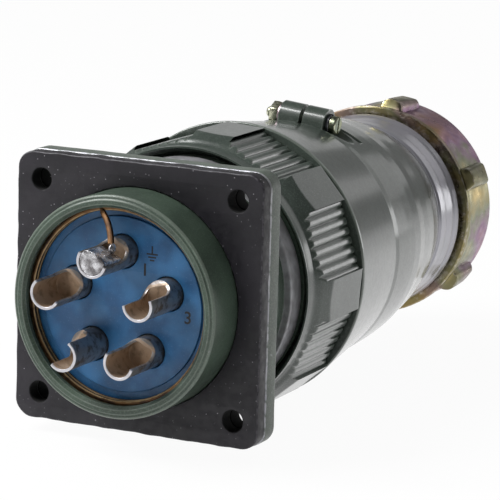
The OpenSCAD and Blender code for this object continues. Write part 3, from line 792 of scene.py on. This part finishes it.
def buildRing():
    s, rings, steps = wire, [], 288
    total = steps + 20
    for i in range(total + 1):
        t = min(1, i / steps)
        y = s["start"] - s["pitch"] * s["turns"] * t
        a = s["endAngle"] - 360 * s["turns"] * (1 - t)
        r, halfWidth = s["radius"], s["halfWidth"]
        tail = max(0, (i - steps) / 20)
        if tail:
            r -= (r - s["tailEnd"]) * tail
            a -= 13 * tail * (1.35 - 0.35 * tail)
            y -= 3.2 * tail
            halfWidth += 0.07 * min(1, tail * 3)
        c = Vector(polar(r, a, y))
        out, along = Vector(polar(1, a, 0)), Vector(polar(1, a - 90, 0))
        side = out if not tail else (out * max(0, 1 - tail * 6) + along * min(1, tail * 6)).normalized() * mm
        ring = []
        for k in range(16):
            b = 2 * math.pi * k / 16
            u, v = math.cos(b), math.sin(b)
            u, v = abs(u) ** 0.35 * math.copysign(1, u), abs(v) ** 0.5 * math.copysign(1, v)
            ring.append(c + side * u * halfWidth + Vector((0, v * s["halfThick"] * mm, 0)))
        rings.append(ring)
    thing = newObject("retainingRing", tidy(loopMesh("retainingRing", rings, wrap=False, capEnds=True)))
    finishPiece(thing, "receptacle", [bronzeWire], ["retaining_ring"])


buildRing()
print("retaining ring built")


# ---- coupling nut: one sector of pad and ribs, copied round by geometry nodes ----

nut = {"front": 18, "rear": 39.2, "pads": 8, "padFlat": 29.1, "padWidth": 16.6, "firstPad": -4.2,
       "ribFlat": 27.75, "grooves": 7, "grooveDepth": 0.42, "grooveWidth": 0.28, "crown": 0.12,
       "mouth": 27, "relief": 25.8, "bore": 25.06, "lip": 23.06, "lipFront": 36.5, "topEnd": 38.75}
# the front shoulder's radius at stations along the axis
nutShoulder = ([18, 18.3, 21, 22, 24.9, 30], [26.8, 27.0, 27.1, 28.0, 29.4, 31.7])


def softMin(a, b, k):
    h = max(0, min(1, 0.5 + 0.5 * (b - a) / k))
    return b + (a - b) * h - k * h * (1 - h)


def nutRadius(a, y):
    # outer radius at angle a (degrees from the pad's middle) and station y
    s = nut
    half = 180 / s["pads"] - s["padWidth"] / 2
    pitch = 2 * s["ribFlat"] * math.tan(math.radians(half)) / s["grooves"]
    if abs(a) <= s["padWidth"] / 2:
        top = s["padFlat"] / math.cos(math.radians(a))
    else:
        turn = math.radians(abs(a) - 180 / s["pads"])
        flat, along = s["ribFlat"] / math.cos(turn), s["ribFlat"] * math.tan(turn)
        off = abs(along - max(-3, min(3, round(along / pitch))) * pitch)
        groove = s["grooveDepth"] * math.exp(-(off / s["grooveWidth"]) ** 2)
        top = flat - groove - s["crown"] * (1 - 2 * off / pitch) ** 2
    return softMin(top, np.interp(y, *nutShoulder), 0.14)


def buildNut():
    s = nut
    padHalf, sector = s["padWidth"] / 2, 360 / s["pads"]
    angles = [-padHalf + 0.02, -padHalf + 0.25] + [-padHalf + padHalf * 2 * k / 10 for k in range(1, 10)]
    angles += [padHalf - 0.25, padHalf - 0.02, padHalf + 0.1]
    ribs = 14 * s["grooves"]
    angles += [padHalf + (sector - s["padWidth"]) * k / ribs for k in range(1, ribs)]
    angles += [sector - padHalf - 0.1, sector - padHalf + 0.02]
    stations = [s["front"] + 0.35, 19.2, 19.9] + [20.3 + 0.3 * k for k in range(19)]
    stations += [26.2 + 1.2 * k for k in range(11)] + [s["topEnd"]]
    rings = []
    inner = softProfile([(s["lip"], s["rear"], 0.2), (s["lip"], s["lipFront"]), (s["bore"], s["lipFront"]),
                         (s["bore"], 21.4), (s["relief"], 20.6), (s["relief"], 20.2), (s["mouth"], 19.6),
                         (s["mouth"], s["front"], 0.25)], 1.5, closed=False)
    for a in angles:
        ring = []
        lowest = nutRadius(a, s["front"] + 0.35)
        for k in range(4):
            q = k / 4 * math.pi / 2
            ring.append((lowest - 0.35 + 0.35 * math.sin(q), s["front"] + 0.35 - 0.35 * math.cos(q)))
        ring += [(nutRadius(a, y), y) for y in stations]
        top = nutRadius(a, s["topEnd"])
        for k in range(1, 5):
            q = k / 4 * math.pi / 2
            ring.append((top - 0.45 * (1 - math.cos(q)), s["rear"] - 0.45 + 0.45 * math.sin(q)))
        ring += inner
        rings.append([polar(r, a + s["firstPad"], y) for r, y in ring])
    sector = loopMesh("nutSector", rings, wrap=False)
    thing = roundTheAxis("couplingNut", sector, s["pads"], nutCoat)
    finishPiece(thing, "coupling_nut", [nutCoat], ["coupling_nut"])


buildNut()
print("coupling nut built")


# ---- backshell casting with pinch ears ----

backshell = {"front": 39.6, "lip": 29.3, "crease": 63, "creaseRadius": 26.4, "taperEnd": 99,
             "outletRadius": 21.3, "outletEnd": 108.4, "spigot": 20.5, "spigotEnd": 118.5,
             "earTurn": 84, "earRadius": 26.8, "earStation": 66.8, "boss": 3.15, "earHalf": 5.3,
             "pocket": 3.05, "slit": 0.4, "wallBottom": 22.8, "tube": 23.03, "tubeEnd": 62.1,
             "relief": 22.7, "bore": 17.5, "threadPitch": 1.5, "threadDepth": 0.7}
# share of the length, share of the fall
taper = [(0.2, 0.06), (0.31, 0.1), (0.42, 0.17), (0.53, 0.31), (0.64, 0.41), (0.75, 0.53), (0.88, 0.76)]


def earShape(r, a, y):
    # adds the two ears, their pockets, the slit and the saw cut to the outer skin
    s = backshell
    delta = math.radians(s["earTurn"] - a)
    if r < 23.9 or abs(delta) > 0.75 or not 58 < y < 75:
        return r, a, y
    across, slope = abs(math.sin(delta)), math.cos(delta)
    rise = s["boss"] ** 2 - (y - s["earStation"]) ** 2
    ear = max(r, (s["earRadius"] + math.sqrt(rise)) / slope) if rise > 0 else r
    dip = s["pocket"] ** 2 - (y - s["earStation"]) ** 2
    floor = min(r, (s["earRadius"] - math.sqrt(dip)) / slope) if dip > 0 else r
    if ear * across <= s["earHalf"]:
        out = ear
    elif floor * across >= s["earHalf"]:
        out = floor
    else:
        out = s["earHalf"] / across
    cutStart = s["earStation"] + s["boss"]
    if cutStart - 0.5 < y < cutStart + 1.1:
        out = min(out, 23.4 / slope)
        if abs(delta) < 0.31:
            out = s["wallBottom"]
    if 62.4 < y < cutStart + 1 and out * across < s["slit"]:
        out = s["wallBottom"]
    return out, a, y


def buildBackshell():
    s = backshell
    fall = s["creaseRadius"] + 0.2 - s["outletRadius"]
    o, e = s["outletRadius"], s["taperEnd"]
    length = e - s["crease"]
    skin = [(s["lip"] - 3, s["front"]), (s["lip"], s["front"], 0.3), (s["lip"], s["front"] + 0.9, 0.2),
            (s["lip"] - 0.15, s["front"] + 1.1), (s["creaseRadius"] + 0.05, s["crease"] - 0.2, 2),
            (s["creaseRadius"] + 0.12, s["crease"] + 1.5, 2)]
    skin += [(s["creaseRadius"] + 0.2 - fall * drop, s["crease"] + length * far, 6) for far, drop in taper]
    skin += [(o, e, 0.6), (o - 0.25, e + 0.3, 0.2), (o - 0.25, e + 0.8, 0.2), (o + 0.1, e + 1.2, 0.4),
             (o + 0.25, e + 3.4, 0.5), (o + 0.12, e + 3.7, 0.3), (o + 0.2, e + 4.1, 0.3),
             (o + 0.5, e + 6.8, 0.5), (o + 0.38, e + 7.2, 0.3), (o + 0.6, e + 7.8, 0.3),
             (o + 0.9, s["outletEnd"], 0.15), (s["spigot"], s["outletEnd"])]
    skin += [(s["spigot"], s["outletEnd"] + 0.4 + 0.22 * k) for k in range(42)]
    skin += [(s["spigot"], s["spigotEnd"], 0.4), (s["bore"], s["spigotEnd"], 0.2), (s["bore"], e, 2),
             (18.6, 90, 3), (21.0, 80, 3), (22.5, 70, 1), (s["relief"], s["tubeEnd"]),
             (s["tube"], s["tubeEnd"]), (s["tube"], s["front"] + 6), (s["lip"] - 3, s["front"] + 3)]
    profile = softProfile(skin, 0.9)
    fine = [s["earStation"] + k * 0.16 for k in range(-30, 31)]
    fine = [y for y in fine if 62.3 < y < 72] + [69.44, 69.46, 71.04, 71.06]
    spans = []
    for i, (r, y) in enumerate(profile):
        spans.append((r, y))
        nextR, nextY = profile[(i + 1) % len(profile)]
        if r > 23.9 and nextR > 23.9 and nextY > y:
            for extra in sorted(fine):
                if y + 0.01 < extra < nextY - 0.01:
                    f = (extra - y) / (nextY - y)
                    spans.append((r + (nextR - r) * f, extra))
    angles = [s["earTurn"] + 45 + 270 * k / 100 for k in range(101)]
    near = [k * 0.45 for k in range(-100, 101)]
    near += [k * 0.12 for k in range(-12, 13)] + [e * (9.3 + k * 0.2) for k in range(16) for e in (-1, 1)]
    near = sorted(set(round(k, 3) for k in near if abs(k) < 44.9))
    angles += [s["earTurn"] + k for k in near]
    ridge = screwRidge(s["spigot"], s["threadPitch"], s["outletEnd"] + 0.5, s["spigotEnd"] - 0.5,
                       s["threadDepth"])

    def shape(r, a, y):
        return ridge(*earShape(r, a, y))
    thing = newObject("backshell", tidy(turnedMesh("backshell", spans, angles, shape), 0.000004))
    finishPiece(thing, "plug", [castCoat], ["backshell"], 32)


buildBackshell()
print("backshell built")


# ---- pinch screw, nut and washers, drawn along Y then laid on the ear axis ----

pinch = {"screw": 1.25, "headRadius": 1.95, "headHeight": 1.5, "ear": 5.3, "springThick": 0.8,
         "washerThick": 0.6, "tip": -9.1, "slot": 0.6, "nutFlat": 2.3, "nutHeight": 2}


def layOnEar(mesh):
    # turns a shape drawn about Y so that it lies along the pinch screw's axis
    s = backshell
    turn = math.radians(s["earTurn"])
    out = Vector((math.cos(turn), 0, math.sin(turn)))
    along = Vector((math.sin(turn), 0, -math.cos(turn)))
    third = out.cross(along)
    centre = out * s["earRadius"] * mm + Vector((0, s["earStation"] * mm, 0))
    spin = Matrix((out, along, third)).transposed().to_4x4()
    mesh.transform(Matrix.Translation(centre) @ spin)
    return mesh


def pinchPiece(thing, body, material, node):
    layOnEar(thing.data)
    finishPiece(thing, body, [material], [node])


def buildPinch():
    s = pinch
    head = s["ear"] + s["springThick"]
    tipThread = [(s["screw"], s["tip"] + 0.5 + 0.1 * k) for k in range(30)]
    shank = softProfile([(0.001, s["tip"]), (s["screw"] - 0.35, s["tip"], 0.1)] + tipThread + [
        (s["screw"], head), (s["headRadius"], head, 0.1), (s["headRadius"], head + s["headHeight"], 0.35),
        (0.001, head + s["headHeight"])], 0.6)
    screw = newObject("pinchScrew", tidy(turnedMesh("pinchScrew", shank, 48, screwRidge(
        s["screw"], 0.45, s["tip"] + 0.3, s["tip"] + 3.4, 0.2))))
    carve(screw, [boxMesh((-4, head + 0.8, -s["slot"] / 2), (4, head + 4, s["slot"] / 2))])
    tidy(screw.data)
    pinchPiece(screw, "clamp_screw", screwZinc, "clamp_screw")

    start = -s["ear"] - s["washerThick"]
    corner, high = s["nutFlat"] / math.cos(math.pi / 6), start - s["nutHeight"]
    hole = s["screw"] + 0.05
    hexagon = turnedMesh("hexagon", [(corner - 0.1, high), (corner, (start + high) / 2),
                                     (corner - 0.1, start), (hole, start), (hole, high)],
                         [60 * k for k in range(6)])
    piece = bevelled(newObject("pinchNut", tidy(hexagon)), 0.14, 2)
    pinchPiece(piece, "plug", screwZinc, "clamp_nut")

    bore, rim = s["screw"] + 0.1, s["screw"] + 1.3
    flat = turnedMesh("flat", softProfile([(bore, start, 0.1), (rim, start, 0.15), (rim, -s["ear"], 0.1),
                                           (bore, -s["ear"], 0.1)]), 48)
    pinchPiece(newObject("flatWasher", tidy(flat)), "plug", washerZinc, "flat_washer")

    # split ring, its ends a little apart along the axis
    rings = []
    for k in range(49):
        a = 12 + 336 * k / 48
        lift = 0.06 * (k / 48 - 0.5)
        section = softProfile([(bore, s["ear"] + 0.06, 0.15), (rim - 0.35, s["ear"] + 0.06, 0.15),
                               (rim - 0.35, head - 0.06, 0.15), (bore, head - 0.06, 0.15)], 0.5)
        rings.append([polar(r, a, y + lift) for r, y in section])
    piece = newObject("springWasher", tidy(loopMesh("springWasher", rings, wrap=False, capEnds=True)))
    pinchPiece(piece, "spring_washer", springSteel, "spring_washer")


buildPinch()
print("pinch hardware built")


# ---- gland nut: one sector with its lug, copied round by geometry nodes ----

def glandRadius(a, y):
    s = gland
    f, e = s["front"], s["rear"]
    keys = [(f, s["flange"] - 0.35), (f + 0.35, s["flange"]), (f + 1.8, s["flange"]), (f + 2.4, s["skirt"]),
            (e - 1.4, s["skirt"]), (e - 0.4, s["skirt"] - 0.6), (e, s["skirt"] - 1.6)]
    base = np.interp(y, [k[0] for k in keys], [k[1] for k in keys])
    inside = s["lugRadius"] ** 2 - (s["lugCentre"] * math.sin(math.radians(a))) ** 2
    if inside <= 0 or y < f + 1.2 or y > s["lugEnd"]:
        return base
    lug = s["lugCentre"] * math.cos(math.radians(a)) + math.sqrt(inside)
    slopes = np.interp(y, [f + 1.2, f + 1.9, s["lugEnd"] - 1.1, s["lugEnd"]],
                       [s["flange"], s["lugTop"], s["lugTop"] - 0.9, s["skirt"]])
    lug = softMin(lug, slopes, 0.5)
    return -softMin(-lug, -base, 0.3)


def buildGland():
    s = gland
    angles = [k * 0.5 for k in range(-16, 17)] + [9.5 + 1.5 * k for k in range(0, 28)] + [52]
    stations = [s["front"] + 0.35 + 0.25 * k for k in range(12)]
    stations += [s["front"] + 4 + k for k in range(8)]
    stations += [s["lugEnd"] - 1.2 + 0.3 * k for k in range(15)]
    inner = softProfile([(s["cable"], s["rear"], 0.5), (s["cable"], s["rear"] - 3, 0.1),
                         (s["cavity"], s["rear"] - 3), (s["cavity"], s["threadEnd"]),
                         (s["thread"], s["threadEnd"]), (s["thread"], s["front"] + 0.6),
                         (s["mouth"], s["front"])], 1.2, closed=False)
    rings = []
    for a in angles:
        ring = [(glandRadius(a, s["front"]), s["front"])]
        ring += [(glandRadius(a, y), y) for y in stations]
        ring += [(glandRadius(a, s["rear"]), s["rear"])]
        ring += inner
        rings.append([polar(r, a + s["firstLug"], y) for r, y in ring])
    thing = roundTheAxis("glandNut", loopMesh("glandSector", rings, wrap=False), s["lugs"], glandFilm)
    finishPiece(thing, "gland_nut", [glandFilm], ["gland_nut"], 42)


buildGland()

cableSeal = {"bore": 11, "outer": 17.4, "front": 106, "chamfer": 118.9, "rear": 120.9, "washerBore": 12.8,
             "washerRear": 122.9}


def buildGrommet():
    s = cableSeal
    seal = turnedMesh("grommet", softProfile([
        (s["bore"], s["front"], 0.6), (s["outer"], s["front"], 0.3), (s["outer"], s["chamfer"]),
        (s["outer"] - 0.9, s["rear"], 0.2), (s["bore"], s["rear"], 0.6)]), 96)
    thing = newObject("cableGrommet", tidy(seal))
    finishPiece(thing, "plug", [softRubber], ["cable_grommet"])
    disc = turnedMesh("slip", softProfile([
        (s["washerBore"], s["rear"] + 0.05, 0.2), (s["outer"] - 0.9, s["rear"] + 0.05, 0.2),
        (s["outer"] - 0.9, s["washerRear"], 0.2), (s["washerBore"], s["washerRear"], 0.2)]), 96)
    thing = newObject("slipWasher", tidy(disc))
    finishPiece(thing, "slip_washer", [plainZinc], ["slip_washer"])


buildGrommet()
print("gland built")


# ---- inner CAD nodes keep their shape and get their own finish ----

innerFinish = {"front_insulator": blueMoulding, "interface_seal": redSilicone, "plug_shell": nutCoat,
               "coupling_seal": softRubber, "plug_front_insulator": greyMoulding,
               "plug_rear_insulator": greyMoulding, "plug_retaining_ring": springSteel,
               "nut_snap_ring": springSteel}
for number in range(1, 6):
    innerFinish["socket_contact_%d" % number] = cupOutside
for name, finish in innerFinish.items():
    for cadSlot in nodes[name].material_slots:
        cadSlot.material = finish


# ---- floor, light, camera ----

studio = {"floorDrop": 0.35, "floorReach": 6, "floorGlow": 0.95, "ambient": 0.5, "frontMirror": 0.07,
          "rearMirror": 0.15, "sheet": (0.2, 0.45)}
cameraPlace = {"azimuth": 25.86, "elevation": 11.45, "roll": 1.59, "aside": -20.68, "below": 8.97,
               "away": 556.91, "lens": 205.44}


def buildFloor():
    mesh = bpy.data.meshes.new("floor")
    z, reach = cadBox[0][2] - studio["floorDrop"] * mm, studio["floorReach"]
    mesh.from_pydata([(-reach, -reach, z), (reach, -reach, z), (reach, reach, z), (-reach, reach, z)], [],
                     [(0, 1, 2, 3)])
    floor = newObject("floor", mesh)
    material = bpy.data.materials.new("white paper sweep")
    material.use_nodes = True
    tree = material.node_tree
    shader = tree.nodes["Principled BSDF"]
    shader.inputs["Base Color"].default_value = (0.86, 0.86, 0.86, 1)
    shader.inputs["Roughness"].default_value = 0.9
    path = addNode(tree, "ShaderNodeLightPath")
    seen = maths(tree, "MAXIMUM", path.outputs["Is Camera Ray"],
                 maths(tree, "MAXIMUM", path.outputs["Is Glossy Ray"], path.outputs["Is Transmission Ray"]))
    glow = addNode(tree, "ShaderNodeEmission", {"Color": (1, 1, 1, 1), "Strength": 1.0})
    # the sheet is a small one: what shines below the horizon in the metal fades with the distance
    away = addNode(tree, "ShaderNodeVectorMath", {0: addNode(tree, "ShaderNodeTexCoord").outputs["Object"]},
                   operation="LENGTH").outputs["Value"]
    share = addNode(tree, "ShaderNodeMix", {0: path.outputs["Is Camera Ray"],
                                            2: ramp(tree, away, *studio["sheet"], studio["floorGlow"], 0.12),
                                            3: studio["floorGlow"]}).outputs[0]
    mixed = addNode(tree, "ShaderNodeMixShader", {0: maths(tree, "MULTIPLY", seen, share),
                                                  1: shader.outputs[0], 2: glow.outputs[0]})
    tree.links.new(mixed.outputs[0], tree.nodes["Material Output"].inputs["Surface"])
    mesh.materials.append(material)


def buildWorld():
    world = bpy.data.worlds.new("studio")
    bpy.context.scene.world = world
    world.use_nodes = True
    tree = world.node_tree
    back = tree.nodes["Background"]
    path = addNode(tree, "ShaderNodeLightPath")
    look = addNode(tree, "ShaderNodeTexCoord").outputs["Generated"]
    way = addNode(tree, "ShaderNodeSeparateXYZ", {"Vector": look})
    # white to the camera; in the metal a dim room, a little paler behind
    mirrored = maths(tree, "MAXIMUM", path.outputs["Is Glossy Ray"], path.outputs["Is Transmission Ray"])
    ambient = ramp(tree, way.outputs["Y"], -0.9, 0.35, studio["ambient"] * 0.4, studio["ambient"])
    room = ramp(tree, way.outputs["Y"], 0.3, 0.95, studio["frontMirror"], studio["rearMirror"])
    seen = addNode(tree, "ShaderNodeMix", {0: mirrored, 2: ambient, 3: room}).outputs[0]
    strength = addNode(tree, "ShaderNodeMix", {0: path.outputs["Is Camera Ray"], 2: seen, 3: 1.0}).outputs[0]
    tree.links.new(strength, back.inputs["Strength"])
    back.inputs["Color"].default_value = (1, 1, 1, 1)


def addLamp(name, place, target, size, watts):
    light = bpy.data.lights.new(name, "AREA")
    light.shape, light.size, light.energy = "SQUARE", size, watts
    lamp = newObject(name, light)
    lamp.location = place
    lamp.rotation_euler = (Vector(target) - Vector(place)).to_track_quat("-Z", "Y").to_euler()


def buildLight():
    middle = (0, 0.045, 0)
    addLamp("leftSoftbox", (-0.4, -0.2, 0.5), middle, 0.4, 6.0)
    addLamp("backSoftbox", (0.3, 0.95, 0.4), middle, 0.5, 0.4)
    addLamp("rearLeftSoftbox", (-0.36, 0.9, 0.17), middle, 0.5, 0.3)
    addLamp("lowSoftbox", (0.45, 0.8, 0.03), middle, 0.25, 0.5)


def buildCamera():
    s = cameraPlace
    a, e, roll = (math.radians(s[k]) for k in ("azimuth", "elevation", "roll"))
    right = Vector((math.cos(a), math.sin(a), 0))
    backward = Vector((math.sin(a) * math.cos(e), -math.cos(a) * math.cos(e), math.sin(e)))
    down = -backward.cross(right)
    rowX = right * math.cos(roll) - down * math.sin(roll)
    rowY = right * math.sin(roll) + down * math.cos(roll)
    turn = Matrix((rowX, -rowY, backward)).transposed()
    data = bpy.data.cameras.new("camera")
    data.lens, data.sensor_width = s["lens"], 36
    data.clip_start, data.clip_end = 0.01, 50
    camera = newObject("camera", data)
    spot = -(rowX * s["aside"] + rowY * s["below"] - backward * s["away"]) * mm
    camera.matrix_world = Matrix.Translation(spot) @ turn.to_4x4()
    bpy.context.scene.camera = camera


buildFloor()
buildWorld()
buildLight()
buildCamera()
bpy.context.scene.view_settings.view_transform = "Standard"
print("studio ready")
